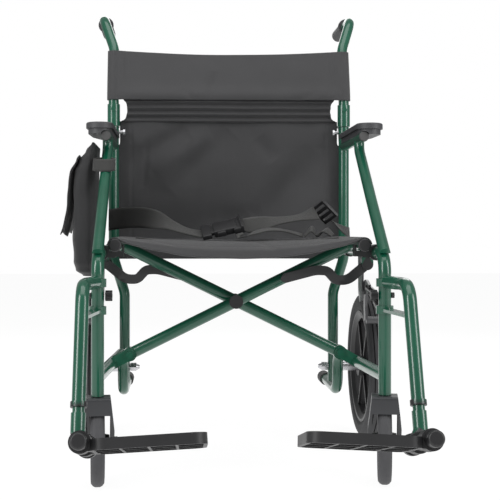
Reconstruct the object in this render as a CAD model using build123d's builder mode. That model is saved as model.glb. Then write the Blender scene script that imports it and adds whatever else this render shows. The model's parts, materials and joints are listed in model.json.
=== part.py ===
from build123d import *
import os
from math import cos, radians, sin, tan

# Folding transport wheelchair, in millimetres. X to the right of a viewer in front, Y to the back,
# Z up, origin on the floor under the middle of the chair.

# Side frame
tube_d = 22.0
post_x = 247.5
front_y = -162.5
wheelbase = 450.0
side_rail_z = 407.5
side_rail_bend = 35.0
weld_gap = 0.1
running_gap = 0.1
free_gap = 0.3
lower_rail_z = 195.0
lower_rail_x = 224.0
drop_ahead = 68.0
tip_lever_z = 112.0
tip_lever_end = 140.0
tip_cap_length = 42.0
rear_post_top = 670.0
jog_top_z = 388.0
jog_bottom_z = 313.0

# Armrest
arm_d = 20.0
arm_z = 628.0
arm_front = 205.0
arm_post_top = 257.0
arm_post_mid = (126.0, 503.0)
pad_length = 236.0
pad_front_width = 52.0
pad_back_width = 27.0
pad_lip = 11.5
pad_body = 10.5
pad_step = 4.0

# Seat
seat_rail_x = 221.0
seat_z = 421.0
seat_front = 49.0
seat_back_gap = 30.0
cap_length = 6.0
saddle_length = 24.0
saddle_wall = 3.6
sling_thick = 3.0
sling_sag = 14.0

# Cross-brace
brace_behind = 200.0
bar_gap = 1.0
brace_center_z = 312.0
lower_pivot_x = 201.0
lower_pivot_z = 213.0
pivot_bolt_d = 8.0
pivot_eye_d = 26.0
ear_thick = 4.0
hub_d = 26.0
hub_face = 4.0
link_thick = 8.0
link_height = 18.0
link_joint = (247.5, 383.0)
link_inner = (90.0, 356.3)

# Rear wheels
wheel_d = 310.0
wheel_x = 296.5
tyre_width = 37.0
tyre_height = 36.0
rim_depth = 16.0
hub_r = 21.0
spokes = 6
spoke_width = 17.0
axle_d = 12.0
axle_nut_d = 19.0

# Casters
caster_d = 155.0
caster_width = 24.0
caster_trail = 38.0
caster_tyre_height = 17.0
crown_top = 162.0
fork_width = 58.0
fork_leg = 7.0
fork_clear = 4.0
caster_toe = {"left": 5.0, "right": -10.0}
stem_d = 12.0
stem_length = 60.0

# Legrests
hanger_x = 262.0
hanger_top_z = 358.0
hanger_reach = 124.0
hanger_slope = 20.5
hanger_bend = 40.0
hanger_ring = (350.0, 364.0)
strap_z = 310.0
strap_thick = 5.0
ring_wall = 4.0
collar_z = 176.0
sleeve_end_z = 141.0
barrel_x = 246.0
barrel_d = 24.0
barrel_back = (-215.0, 120.0)
barrel_rise = 14.5
barrel_length = 163.0
plate_inset = 15.0
plate_width = 164.0
plate_depth = 140.0
plate_start = 14.0
plate_thick = 16.0
plate_skin = 5.0
plate_tilt = 3.2
plate_corner = 22.0

# Back canes and handles
sleeve_d = 26.7
sleeve_length = 47.0
pivot_behind = 20.0
pivot_d = 6.0
cane_lean = (29.0, 840.0)
handle_x = 273.0
handle_z = 913.0
handle_start = 66.0
handle_end = 245.0
cane_bend = 42.0
grip_d = 30.0
grip_length = 118.0

# Brake
brake_z = 327.0
brake_ahead = 310.0
brake_plate_thick = 4.0
shoe_reach = 44.0

# Upholstery and bag
cloth = 4.0
back_top = 835.0
back_bottom = 440.0
band_bottom = 719.0
pleat_bottom = 674.0
pleat_half = 223.0
panel_half = 246.0
panel_neck = 235.0
bag_width = 66.0
bag_height = 215.0
bag_start = 195.0
bag_length = 200.0

rear_y = front_y + wheelbase
brace_y = front_y + brace_behind
bar_offset = (tube_d + bar_gap) / 2
axle_z = wheel_d / 2
caster_z = caster_d / 2

os.makedirs("parts", exist_ok=True)


def keep(piece, name):
    piece.part.label = name
    export_step(piece.part, f"parts/{name}.step")


def lay_tube(points, radii, diameter, mode=Mode.ADD):
    """A tube along a path of straight runs with rounded corners."""
    with BuildLine() as route:
        if radii:
            FilletPolyline(*points, radius=radii)
        else:
            Polyline(*points)
    with BuildSketch(Plane(origin=route.line @ 0, z_dir=route.line % 0)) as section:
        Circle(diameter / 2)
    sweep(section.sketch, path=route.line, mode=mode)


def lay_rod(start, end, diameter, mode=Mode.ADD):
    """A straight round bar from one point to another."""
    axis = Vector(*end) - Vector(*start)
    with BuildSketch(Plane(origin=start, z_dir=axis)) as section:
        Circle(diameter / 2)
    extrude(section.sketch, amount=axis.length, mode=mode)


def rear_post_points(s):
    return [
        (s * post_x, rear_y, rear_post_top),
        (s * post_x, rear_y, jog_top_z),
        (s * lower_rail_x, rear_y, jog_bottom_z),
        (s * lower_rail_x, rear_y, tip_lever_z + tube_d / 2 + weld_gap),
    ]


def front_tube_points(s):
    return [
        (s * post_x, front_y, crown_top + free_gap * 4),
        (s * post_x, front_y, side_rail_z),
        (s * post_x, rear_y, side_rail_z),
    ]


def lower_rail_points(s):
    drop_y = rear_y - drop_ahead
    return [
        (s * post_x, front_y, lower_rail_z),
        (s * lower_rail_x, drop_y, lower_rail_z),
        (s * lower_rail_x, drop_y, tip_lever_z),
        (s * lower_rail_x, rear_y + tip_lever_end, tip_lever_z),
    ]


def cane_points(s):
    return [
        (s * post_x, rear_y, rear_post_top + 8.6),
        (s * post_x, rear_y, rear_post_top + sleeve_length + 12),
        (s * post_x, rear_y + cane_lean[0], cane_lean[1]),
        (s * handle_x, rear_y + handle_start, handle_z),
        (s * handle_x, rear_y + handle_end, handle_z),
    ]


cane_radii = [120, 70, cane_bend]

for side, s in (("left", -1), ("right", 1)):
    # Front tube: caster post, shoulder bend and upper side rail, with the tab that holds the link
    link_y = brace_y - s * (bar_offset + tube_d / 2 + free_gap * 2 + link_thick / 2)
    tab_y = link_y - s * (link_thick / 2 + free_gap)
    with BuildPart() as front_tube:
        lay_tube(front_tube_points(s), [side_rail_bend], tube_d)
        with BuildSketch(Plane.XZ.offset(-tab_y)):
            with Locations((s * link_joint[0], link_joint[1])):
                Circle(11)
            with Locations((s * post_x, (link_joint[1] + side_rail_z) / 2)):
                Rectangle(22, side_rail_z - link_joint[1])
        extrude(amount=s * ear_thick)
        lay_rod(
            (s * link_joint[0], tab_y, link_joint[1]),
            (s * link_joint[0], tab_y + s * (link_thick + free_gap * 2), link_joint[1]),
            pivot_bolt_d,
        )
        lay_tube(rear_post_points(s), [60, 60], tube_d + 2 * weld_gap, Mode.SUBTRACT)
        lay_rod(
            (s * post_x, front_y, crown_top),
            (s * post_x, front_y, crown_top + stem_length),
            stem_d + 2 * running_gap,
            Mode.SUBTRACT,
        )
    keep(front_tube, f"front_tube_{side}")

    # Rear post: jogs inwards below the seat, with the wheel axle hole and the fold-down back's lower lug
    pivot_y = rear_y + pivot_behind
    with BuildPart() as rear_post:
        lay_tube(rear_post_points(s), [60, 60], tube_d)
        for offset in (-7.5, 7.5):
            with BuildSketch(Plane.YZ.offset(s * post_x + offset)):
                with BuildLine():
                    Polyline(
                        (rear_y, rear_post_top - 40),
                        (rear_y + 15, rear_post_top - 30),
                        (pivot_y + 5.5, rear_post_top + 2),
                        (pivot_y - 5.5, rear_post_top + 2),
                        (pivot_y - 8, rear_post_top - 4),
                        (rear_y, rear_post_top - 4),
                        close=True,
                    )
                make_face()
            extrude(amount=1.5, both=True)
            with BuildSketch(Plane.YZ.offset(s * post_x + offset)):
                with Locations((pivot_y, rear_post_top + 2)):
                    Circle(5.5)
            extrude(amount=1.5, both=True)
        lay_rod(
            (s * post_x - 11, pivot_y, rear_post_top + 2),
            (s * post_x + 11, pivot_y, rear_post_top + 2),
            pivot_d,
        )
        lay_rod(
            (s * (lower_rail_x - 20), rear_y, axle_z),
            (s * (lower_rail_x + 20), rear_y, axle_z),
            axle_d + 2 * running_gap,
            Mode.SUBTRACT,
        )
    keep(rear_post, f"rear_post_{side}")

    # Lower rail: runs back and in, drops, and turns back as the tipping lever; the brace clevis is welded on
    bar_y = brace_y + s * bar_offset
    ear_gap = tube_d / 2 + free_gap
    rail_slope = (post_x - lower_rail_x) / (wheelbase - drop_ahead)
    rail_x_at_brace = post_x - rail_slope * (bar_y - front_y)
    with BuildPart() as lower_rail:
        lay_tube(lower_rail_points(s), [36, 36], tube_d)
        for ear_y in (bar_y - ear_gap - ear_thick, bar_y + ear_gap):
            with BuildSketch(Plane.XZ.offset(-ear_y)):
                with BuildLine():
                    Polyline(
                        (s * (rail_x_at_brace - 6), lower_rail_z - 9),
                        (s * (rail_x_at_brace + 4), lower_rail_z + 9),
                        (s * (lower_pivot_x + 4), lower_pivot_z + 11),
                        (s * (lower_pivot_x - 10), lower_pivot_z - 6),
                        close=True,
                    )
                make_face()
                with Locations((s * lower_pivot_x, lower_pivot_z)):
                    Circle(11)
            extrude(amount=-ear_thick)
        bolt_reach = ear_gap + ear_thick + 4
        lay_rod(
            (s * lower_pivot_x, bar_y - bolt_reach, lower_pivot_z),
            (s * lower_pivot_x, bar_y + bolt_reach, lower_pivot_z),
            pivot_bolt_d,
        )
        for head_y in (-bolt_reach - 2, bolt_reach - 4):
            lay_rod(
                (s * lower_pivot_x, bar_y + head_y, lower_pivot_z),
                (s * lower_pivot_x, bar_y + head_y + 6, lower_pivot_z),
                pivot_bolt_d + 6,
            )
        lay_rod(
            (s * post_x, front_y, lower_rail_z - 40),
            (s * post_x, front_y, lower_rail_z + 40),
            tube_d + 2 * weld_gap,
            Mode.SUBTRACT,
        )
    keep(lower_rail, f"lower_rail_{side}")

    # Arm frame: arm tube and the sloping post under it, one welding
    arm_post_points = [
        (s * post_x, front_y + arm_post_top, arm_z),
        (s * post_x, front_y + arm_post_top, arm_z - 22),
        (s * post_x, front_y + arm_post_mid[0], arm_post_mid[1]),
        (s * post_x, front_y, side_rail_z),
    ]
    with BuildPart() as arm_frame:
        lay_rod((s * post_x, front_y + arm_front, arm_z), (s * post_x, rear_y, arm_z), arm_d)
        lay_tube(arm_post_points, [22, 160], arm_d)
        lay_tube(rear_post_points(s), [60, 60], tube_d + 2 * weld_gap, Mode.SUBTRACT)
        lay_tube(front_tube_points(s), [side_rail_bend], tube_d + 2 * weld_gap, Mode.SUBTRACT)
        lay_rod(
            (s * post_x, front_y, side_rail_z - 60),
            (s * post_x, front_y, side_rail_z),
            tube_d * 2,
            Mode.SUBTRACT,
        )
    keep(arm_frame, f"arm_frame_{side}")

    # Armrest pad: a stepped moulding, wide and round at the front, narrow at the back
    pad_y = front_y + arm_front - 14
    pad_inner = s * (post_x - 13.5)
    with BuildPart() as armrest_pad:
        base = Plane.XY.offset(arm_z + 4)
        for inset, low, high in ((pad_step, 0, pad_body), (0, pad_body, pad_body + pad_lip)):
            with BuildSketch(base.offset(low)):
                with BuildLine():
                    nose = pad_front_width / 2
                    start = (pad_inner + s * inset, pad_y + nose)
                    tip = (pad_inner + s * nose, pad_y + inset)
                    end = (pad_inner + s * (pad_front_width - inset), pad_y + nose)
                    ThreePointArc(start, tip, end)
                    back = pad_y + pad_length - inset
                    Polyline(
                        end,
                        (pad_inner + s * (pad_front_width - inset - 3), pad_y + pad_length * 0.45),
                        (pad_inner + s * (pad_back_width - inset), pad_y + pad_length * 0.8),
                        (pad_inner + s * (pad_back_width - inset), back),
                        (pad_inner + s * inset, back),
                        start,
                    )
                make_face()
            extrude(amount=high - low)
        top = armrest_pad.faces().sort_by(Axis.Z)[-1]
        fillet(top.edges(), 3.5)
        lay_rod(
            (s * post_x, pad_y + inset, arm_z),
            (s * post_x, pad_y + pad_length + 5, arm_z),
            arm_d + 2 * weld_gap,
            Mode.SUBTRACT,
        )
    keep(armrest_pad, f"armrest_pad_{side}")

    # End caps: the round plug in the arm tube and the rubber tip on the tipping lever
    with BuildPart() as tube_caps:
        arm_end = front_y + arm_front
        with BuildSketch(Plane.XZ.offset(-arm_end + weld_gap)):
            with Locations((s * post_x, arm_z)):
                Circle(arm_d / 2 - 0.5)
        extrude(amount=5)
        fillet(tube_caps.edges().group_by(Axis.Y)[0], 2)
        tip_end = rear_y + tip_lever_end
        cap_start = tip_end + weld_gap + 6 - tip_cap_length
        lay_rod(
            (s * lower_rail_x, cap_start, tip_lever_z),
            (s * lower_rail_x, cap_start + tip_cap_length, tip_lever_z),
            tube_d + 6,
        )
        lay_rod(
            (s * lower_rail_x, cap_start, tip_lever_z),
            (s * lower_rail_x, tip_end + weld_gap, tip_lever_z),
            tube_d + 2 * weld_gap,
            Mode.SUBTRACT,
        )
    keep(tube_caps, f"tube_caps_{side}")

    # Saddles: moulded clips round the side rail, each with an open cup that the seat rail drops into
    with BuildPart() as seat_saddles:
        for saddle_y in (front_y + seat_front + 30, rear_y - 78):
            with BuildSketch(Plane.XZ.offset(-saddle_y)):
                rail = (s * post_x, side_rail_z)
                seat = (s * seat_rail_x, seat_z)
                cup = tube_d / 2 + free_gap
                with Locations(rail):
                    Circle(tube_d / 2 + saddle_wall)
                with Locations((seat[0], seat_z - cup + 1)):
                    Rectangle(2 * cup + 6, 2 * cup - 2)
                with Locations(((rail[0] + seat[0]) / 2, side_rail_z - 3)):
                    Rectangle(26, 12)
                with Locations(rail):
                    Circle(tube_d / 2 + weld_gap, mode=Mode.SUBTRACT)
                with Locations((seat[0], seat_z - cup + tube_d)):
                    Rectangle(2 * cup, 2 * tube_d, mode=Mode.SUBTRACT)
            extrude(amount=saddle_length / 2, both=True)
    keep(seat_saddles, f"seat_saddles_{side}")

    # Seat rail and its front cap
    rail_start = front_y + seat_front
    rail_end = rear_y - seat_back_gap
    with BuildPart() as seat_rail:
        lay_rod((s * seat_rail_x, rail_start, seat_z), (s * seat_rail_x, rail_end, seat_z), tube_d)
    keep(seat_rail, f"seat_rail_{side}")

    with BuildPart() as rail_caps:
        for face_y, way in ((rail_start - weld_gap, 1), (rail_end + weld_gap, -1)):
            with BuildSketch(Plane.XZ.offset(-face_y)) as disc:
                with Locations((s * seat_rail_x, seat_z)):
                    Circle(tube_d / 2 + 0.6)
            extrude(disc.sketch, amount=way * cap_length)
        fillet(rail_caps.edges().filter_by(GeomType.CIRCLE).group_by(Axis.Y)[0], 3)
    keep(rail_caps, f"rail_caps_{side}")

    # Cross-brace bar: from this side's lower pivot up to the other side's seat rail
    far_x = -s * seat_rail_x
    with BuildPart() as brace_bar:
        lay_rod((s * lower_pivot_x, bar_y, lower_pivot_z), (far_x, bar_y, seat_z), tube_d)
        lay_rod(
            (s * lower_pivot_x, bar_y - tube_d / 2, lower_pivot_z),
            (s * lower_pivot_x, bar_y + tube_d / 2, lower_pivot_z),
            pivot_eye_d,
        )
        lay_rod(
            (s * lower_pivot_x, bar_y - tube_d, lower_pivot_z),
            (s * lower_pivot_x, bar_y + tube_d, lower_pivot_z),
            pivot_bolt_d + 2 * running_gap,
            Mode.SUBTRACT,
        )
        lay_rod(
            (0, bar_y - tube_d, brace_center_z),
            (0, bar_y + tube_d, brace_center_z),
            pivot_bolt_d + 2 * running_gap,
            Mode.SUBTRACT,
        )
        lay_rod(
            (far_x, bar_y - 40, seat_z),
            (far_x, bar_y + 40, seat_z),
            tube_d + 2 * weld_gap,
            Mode.SUBTRACT,
        )
        with Locations((far_x, bar_y, seat_z + 25)):
            Box(60, 60, 50, mode=Mode.SUBTRACT)
    keep(brace_bar, "brace_front_bar" if s < 0 else "brace_rear_bar")

    # Curved link: a flat strap that dips under the seat rail, from the brace to the tab on the side rail
    with BuildPart() as link:
        with BuildSketch(Plane.XZ.offset(-link_y)):
            with BuildLine() as route:
                FilletPolyline(
                    (s * link_inner[0], link_inner[1]),
                    (s * 150, 372),
                    (s * 172, 371),
                    (s * 188, 353),
                    (s * 211, 353),
                    (s * link_joint[0], link_joint[1]),
                    radius=[60, 16, 16, 30],
                )
            trace(route.line, link_height)
            with Locations((s * link_joint[0], link_joint[1])):
                Circle(pivot_bolt_d / 2 + running_gap, mode=Mode.SUBTRACT)
        extrude(amount=link_thick / 2, both=True)
        head_y = link_y - s * (link_thick / 2 + 3)
        lay_rod((s * link_inner[0], head_y, link_inner[1]), (s * link_inner[0], link_y, link_inner[1]), 13)
    keep(link, f"link_{side}")

    # Back cane: hinge sleeve, leaning tube and handle, folding down to the rear
    sleeve_low = rear_post_top + 0.6
    with BuildPart() as back_cane:
        lay_tube(cane_points(s), cane_radii, tube_d)
        lay_rod((s * post_x, rear_y, sleeve_low), (s * post_x, rear_y, rear_post_top + sleeve_length), sleeve_d)
        lug_y = rear_y + pivot_behind
        with BuildSketch(Plane.YZ.offset(s * post_x)):
            with BuildLine():
                Polyline(
                    (rear_y + 9, sleeve_low + 1),
                    (lug_y - 5, sleeve_low - 2),
                    (lug_y + 5, sleeve_low - 1),
                    (lug_y + 6, sleeve_low + 8),
                    (rear_y + 9, sleeve_low + 30),
                    close=True,
                )
            make_face()
            with Locations((lug_y, rear_post_top + 2)):
                Circle(5.5)
                Circle(pivot_d / 2 + running_gap, mode=Mode.SUBTRACT)
        extrude(amount=5.6, both=True)
        lay_rod(
            (s * post_x - 20, lug_y, rear_post_top + 2),
            (s * post_x + 20, lug_y, rear_post_top + 2),
            pivot_d + 2 * running_gap,
            Mode.SUBTRACT,
        )
        screw_z = rear_post_top + sleeve_length - 11
        with BuildSketch(Plane.XZ.offset(-rear_y + sleeve_d / 2 - 2)) as screw:
            with Locations((s * post_x, screw_z)):
                Circle(4.6)
        extrude(screw.sketch, amount=4)
    keep(back_cane, f"back_cane_{side}")

    # Hand grip: a sleeve with a front collar, closed at its rear end
    grip_end = rear_y + handle_end + 5
    grip_start = grip_end - grip_length
    bore = handle_z + tube_d / 2 + weld_gap
    with BuildPart() as grip:
        with BuildSketch(Plane.YZ.offset(s * handle_x)):
            with BuildLine():
                Polyline(
                    (grip_start, bore),
                    (grip_start, handle_z + grip_d / 2 + 2),
                    (grip_start + 5, handle_z + grip_d / 2 + 2),
                    (grip_start + 8, handle_z + grip_d / 2 - 0.8),
                    (grip_end - 6, handle_z + grip_d / 2 - 0.4),
                    (grip_end, handle_z + grip_d / 2 - 6),
                    (grip_end, handle_z),
                    (grip_end - 5 + weld_gap, handle_z),
                    (grip_end - 5 + weld_gap, bore),
                    close=True,
                )
            make_face()
        revolve(axis=Axis((s * handle_x, 0, handle_z), (0, 1, 0)))
    keep(grip, f"hand_grip_{side}")

    # Back latch: the sprung pull pin inside the hinge sleeve
    latch_z = rear_post_top - 12
    latch_x = post_x - tube_d / 2 - 0.4
    with BuildPart() as latch:
        with BuildSketch(Plane.YZ.offset(s * (latch_x - 9))):
            with Locations((rear_y, latch_z)):
                Circle(4)
        extrude(amount=s * 9)
        with BuildSketch(Plane.YZ.offset(s * (latch_x - 13))):
            with Locations((rear_y, latch_z)):
                RegularPolygon(7, 8)
        extrude(amount=s * 4)
    keep(latch, f"back_latch_{side}")

    # Wheel axle: bolt through the rear post with a dome nut inside, a spacer and an outer cap
    with BuildPart() as axle:
        inner = lower_rail_x - tube_d / 2
        lay_rod((s * (inner - 18), rear_y, axle_z), (s * (wheel_x + tyre_width / 2 + 1), rear_y, axle_z), axle_d)
        with BuildSketch(Plane.YZ.offset(s * (inner - 14))):
            with Locations((rear_y, axle_z)):
                RegularPolygon(axle_nut_d / 2, 6)
        extrude(amount=s * 13)
        with BuildSketch(Plane.YZ.offset(s * (inner - 14))):
            with Locations((rear_y, axle_z)):
                Circle(7.5)
        extrude(amount=-s * 7, taper=25)
        lay_rod(
            (s * (lower_rail_x + tube_d / 2 + free_gap), rear_y, axle_z),
            (s * (wheel_x - tyre_width / 2 - free_gap), rear_y, axle_z),
            axle_d + 8,
        )
        lay_rod(
            (s * (wheel_x + tyre_width / 2 + free_gap), rear_y, axle_z),
            (s * (wheel_x + tyre_width / 2 + 6), rear_y, axle_z),
            axle_d + 6,
        )
    keep(axle, f"wheel_axle_{side}")

    # Rear tyre: grooved tread, revolved
    wheel_axis = Axis((0, rear_y, axle_z), (1, 0, 0))
    half = tyre_width / 2
    with BuildPart() as rear_tyre:
        with BuildSketch(Plane(origin=(s * wheel_x, rear_y, axle_z), x_dir=(1, 0, 0), z_dir=(0, 0, 1))):
            wall = [(half - 5, -tyre_height), (half - 1, -tyre_height + 7), (half, -tyre_height / 2)]
            wall += [(half - 1.5, -10), (half - 5.5, -3)]
            groove = [(10.2, -1.2), (10.2, -5), (7.8, -5), (7.8, -0.6), (1.2, 0), (1.2, -4.4)]
            right_side = [(x, wheel_d / 2 + r) for x, r in wall + groove]
            with BuildLine():
                Polyline(*right_side, *[(-x, r) for x, r in reversed(right_side)], close=True)
            make_face()
        revolve(axis=wheel_axis)
    keep(rear_tyre, f"rear_tyre_{side}")

    # Rear wheel: moulded rim with a hub and ribbed spokes
    rim_outer = wheel_d / 2 - tyre_height - weld_gap
    rim_inner = rim_outer - rim_depth
    with BuildPart() as rear_wheel:
        with BuildSketch(Plane.XY.offset(axle_z)):
            with BuildLine():
                Polyline(
                    (s * wheel_x - 15, rear_y + rim_outer),
                    (s * wheel_x + 15, rear_y + rim_outer),
                    (s * wheel_x + 15, rear_y + rim_outer - 6),
                    (s * wheel_x + 8, rear_y + rim_inner),
                    (s * wheel_x - 8, rear_y + rim_inner),
                    (s * wheel_x - 15, rear_y + rim_outer - 6),
                    close=True,
                )
            make_face()
        revolve(axis=wheel_axis)
        lay_rod(
            (s * wheel_x - half, rear_y, axle_z),
            (s * wheel_x + half, rear_y, axle_z),
            hub_r * 2,
        )
        with BuildSketch(Plane.YZ.offset(s * wheel_x)):
            with Locations((rear_y, axle_z)):
                with PolarLocations(rim_inner / 2 + 6, spokes):
                    Rectangle(rim_inner + 4, spoke_width)
        extrude(amount=4, both=True)
        with BuildSketch(Plane.YZ.offset(s * wheel_x)):
            with Locations((rear_y, axle_z)):
                with PolarLocations(rim_inner / 2 + 6, spokes):
                    Rectangle(rim_inner + 4, 5)
        extrude(amount=9, both=True)
        lay_rod(
            (s * wheel_x - tyre_width, rear_y, axle_z),
            (s * wheel_x + tyre_width, rear_y, axle_z),
            axle_d + 2 * running_gap,
            Mode.SUBTRACT,
        )
    keep(rear_wheel, f"rear_wheel_{side}")

# Casters are made once, trailing straight back from the swivel axis, then turned to each side's toe angle
caster_axis = Axis((0, caster_trail, caster_z), (1, 0, 0))
with BuildPart() as fork_blank:
    with BuildSketch(Plane.YZ):
        with BuildLine():
            Polyline(
                (-24, crown_top),
                (24, crown_top),
                (31, crown_top - 14),
                (caster_trail + 14, caster_z + 6),
                (caster_trail + 9, caster_z - 12),
                (caster_trail - 9, caster_z - 12),
                (caster_trail - 16, caster_z + 6),
                (-22, crown_top - 34),
                close=True,
            )
        make_face()
        fillet(vertices(), 5)
    extrude(amount=fork_width / 2, both=True)
    with BuildSketch(Plane.XZ) as waist:
        for way in (-1, 1):
            with BuildLine():
                Polyline(
                    (way * fork_width / 2, crown_top - 60),
                    (way * (fork_width / 2 - 7), crown_top),
                    (way * fork_width, crown_top + 5),
                    (way * fork_width, crown_top - 60),
                    close=True,
                )
            make_face()
    extrude(waist.sketch, amount=80, both=True, mode=Mode.SUBTRACT)
    with BuildSketch(Plane.YZ) as arch:
        with Locations((caster_trail, caster_z)):
            Circle(caster_d / 2 + fork_clear)
    extrude(arch.sketch, amount=fork_width / 2 - fork_leg, both=True, mode=Mode.SUBTRACT)
    lay_rod((0, 0, crown_top - 1), (0, 0, crown_top + stem_length - 4), stem_d)
    lay_rod(
        (-fork_width / 2 - 4, caster_trail, caster_z),
        (fork_width / 2 + 4, caster_trail, caster_z),
        10,
    )
    for way in (-1, 1):
        with BuildSketch(Plane.YZ.offset(way * fork_width / 2)) as nut:
            with Locations((caster_trail, caster_z)):
                RegularPolygon(9, 6)
        extrude(nut.sketch, amount=way * 6)

with BuildPart() as caster_tyre_blank:
    with BuildSketch(Plane(origin=(0, caster_trail, caster_z), x_dir=(1, 0, 0), z_dir=(0, 0, 1))):
        tread_half = caster_width / 2
        wall = [(tread_half - 2, -caster_tyre_height), (tread_half, -caster_tyre_height + 5)]
        wall += [(tread_half - 0.5, -6), (tread_half - 4, -1.8), (tread_half - 8, 0)]
        right_side = [(x, caster_d / 2 + r) for x, r in wall]
        with BuildLine():
            Polyline(*right_side, *[(-x, r) for x, r in reversed(right_side)], close=True)
        make_face()
    revolve(axis=caster_axis)

caster_rim = caster_d / 2 - caster_tyre_height - weld_gap
caster_hub = fork_width / 2 - fork_leg - 1
with BuildPart() as caster_wheel_blank:
    with BuildSketch(Plane.XY.offset(caster_z)):
        with BuildLine():
            Polyline(
                (-caster_hub, caster_trail),
                (caster_hub, caster_trail),
                (caster_hub, caster_trail + 12),
                (5, caster_trail + 15),
                (5, caster_trail + caster_rim - 8),
                (10, caster_trail + caster_rim),
                (-10, caster_trail + caster_rim),
                (-5, caster_trail + caster_rim - 8),
                (-5, caster_trail + 15),
                (-caster_hub, caster_trail + 12),
                close=True,
            )
        make_face()
    revolve(axis=caster_axis)
    with BuildSketch(Plane.YZ) as windows:
        with Locations((caster_trail, caster_z)):
            with PolarLocations(caster_rim * 0.6, 6):
                Circle(9)
    extrude(windows.sketch, amount=20, both=True, mode=Mode.SUBTRACT)
    lay_rod(
        (-fork_width, caster_trail, caster_z),
        (fork_width, caster_trail, caster_z),
        10 + 2 * running_gap,
        Mode.SUBTRACT,
    )

for side, s in (("left", -1), ("right", 1)):
    place = Location((s * post_x, front_y, 0), (0, 0, caster_toe[side]))
    for blank, name in (
        (fork_blank, "caster_fork"),
        (caster_tyre_blank, "caster_tyre"),
        (caster_wheel_blank, "caster_wheel"),
    ):
        with BuildPart() as caster_piece:
            with Locations(place):
                add(blank.part)
        keep(caster_piece, f"{name}_{side}")

# Legrest, made for the right side and mirrored
slope = tan(radians(hanger_slope))
knee_y = front_y - hanger_reach


def hanger_y(z):
    return knee_y - (hanger_top_z - z) * slope


rise = radians(barrel_rise)
barrel_start = Vector(barrel_x, front_y + barrel_back[0], barrel_back[1])
barrel_dir = Vector(0, -cos(rise), sin(rise))
barrel_end = barrel_start + barrel_dir * barrel_length

with BuildPart() as hanger:
    lay_tube(
        [
            (post_x, front_y, hanger_top_z),
            (hanger_x, front_y - 60, hanger_top_z),
            (hanger_x, knee_y, hanger_top_z),
            (hanger_x, hanger_y(collar_z), collar_z),
        ],
        [60, hanger_bend],
        tube_d,
    )
    lay_rod((post_x, front_y, hanger_ring[0]), (post_x, front_y, hanger_ring[1]), tube_d + 2 * ring_wall)
    lay_rod(
        (post_x, front_y, strap_z - 7),
        (post_x, front_y, strap_z + 7),
        tube_d + 2 * ring_wall,
    )
    strap_y = hanger_y(strap_z)
    with BuildSketch(Plane.XY.offset(strap_z - strap_thick / 2)) as strap:
        with BuildLine() as strap_line:
            Line((post_x + 2, front_y - tube_d / 2), (hanger_x, strap_y))
        trace(strap_line.line, 20)
    extrude(strap.sketch, amount=strap_thick)
    lay_rod(
        (hanger_x, hanger_y(collar_z + 8), collar_z + 8),
        (hanger_x, hanger_y(collar_z), collar_z),
        tube_d + 4,
    )
    lay_rod(
        (post_x, front_y, strap_z - 60),
        (post_x, front_y, side_rail_z),
        tube_d + 2 * free_gap,
        Mode.SUBTRACT,
    )

with BuildPart() as footrest_arm:
    low = Vector(hanger_x, hanger_y(sleeve_end_z), sleeve_end_z)
    lay_rod((hanger_x, hanger_y(collar_z - 0.2), collar_z - 0.2), tuple(low), tube_d - 3)
    lay_rod(
        (hanger_x, hanger_y(collar_z - 8), collar_z - 8),
        (hanger_x, hanger_y(sleeve_end_z), sleeve_end_z),
        tube_d + 1,
    )
    lay_rod(tuple(barrel_start), tuple(barrel_end), barrel_d)
    with BuildSketch(Plane(origin=barrel_start, z_dir=barrel_dir)) as boss:
        Circle(barrel_d / 2 + 5)
    extrude(boss.sketch, amount=12)
    lay_rod(tuple(low), tuple(barrel_start + barrel_dir * 12), tube_d - 2)
    with Locations(low):
        Sphere(tube_d / 2 + 0.5)
    fillet(footrest_arm.edges().filter_by(GeomType.CIRCLE).sort_by(Axis.Y)[0], 4)

# The footplate is drawn in its own plane: x inboard, y forward along the barrel, z out of the tread
inboard = Vector(-cos(radians(plate_tilt)), 0, sin(radians(plate_tilt)))
tread = Plane(origin=barrel_start, x_dir=inboard, z_dir=inboard.cross(barrel_dir))
if tread.z_dir.Z < 0:
    tread = Plane(origin=barrel_start, x_dir=inboard, z_dir=inboard.cross(barrel_dir) * -1)
y_way = 1 if tread.y_dir.dot(barrel_dir) > 0 else -1
tread_top = 3.0
with BuildPart() as footplate:
    middle = (plate_inset + plate_width / 2, y_way * (plate_start + plate_depth / 2))
    with BuildSketch(tread.offset(tread_top - plate_thick)) as outline:
        with Locations(middle):
            RectangleRounded(plate_width, plate_depth, plate_corner)
    extrude(outline.sketch, amount=plate_thick)
    with BuildSketch(tread.offset(tread_top - plate_thick)) as pockets:
        with Locations(middle):
            with GridLocations((plate_width - 8) / 4, (plate_depth - 8) / 3, 4, 3):
                Rectangle((plate_width - 8) / 4 - 4, (plate_depth - 8) / 3 - 4)
        with Locations(middle):
            RectangleRounded(plate_width - 8, plate_depth - 8, plate_corner - 4, mode=Mode.INTERSECT)
    extrude(pockets.sketch, amount=plate_thick - plate_skin, mode=Mode.SUBTRACT)
    with BuildSketch(tread.offset(tread_top)) as treads:
        with Locations(middle):
            with GridLocations(0, 14, 1, 8):
                Rectangle(plate_width - 30, 4)
    extrude(treads.sketch, amount=1.2)
    for start in (plate_start + 16, plate_start + plate_depth - 44):
        knuckle = Plane(origin=barrel_start + barrel_dir * start, x_dir=inboard, z_dir=barrel_dir)
        with BuildSketch(knuckle) as ring:
            Circle(barrel_d / 2 + 4)
        extrude(ring.sketch, amount=28)
        with BuildSketch(tread.offset(tread_top - plate_thick)) as web:
            with Locations((plate_inset / 2 + 4, y_way * (start + 14))):
                Rectangle(plate_inset + 6, 28)
        extrude(web.sketch, amount=plate_thick - 1)
    lay_rod(
        tuple(barrel_start - barrel_dir * 5),
        tuple(barrel_end + barrel_dir * 5),
        barrel_d + 2 * free_gap,
        Mode.SUBTRACT,
    )

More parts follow.
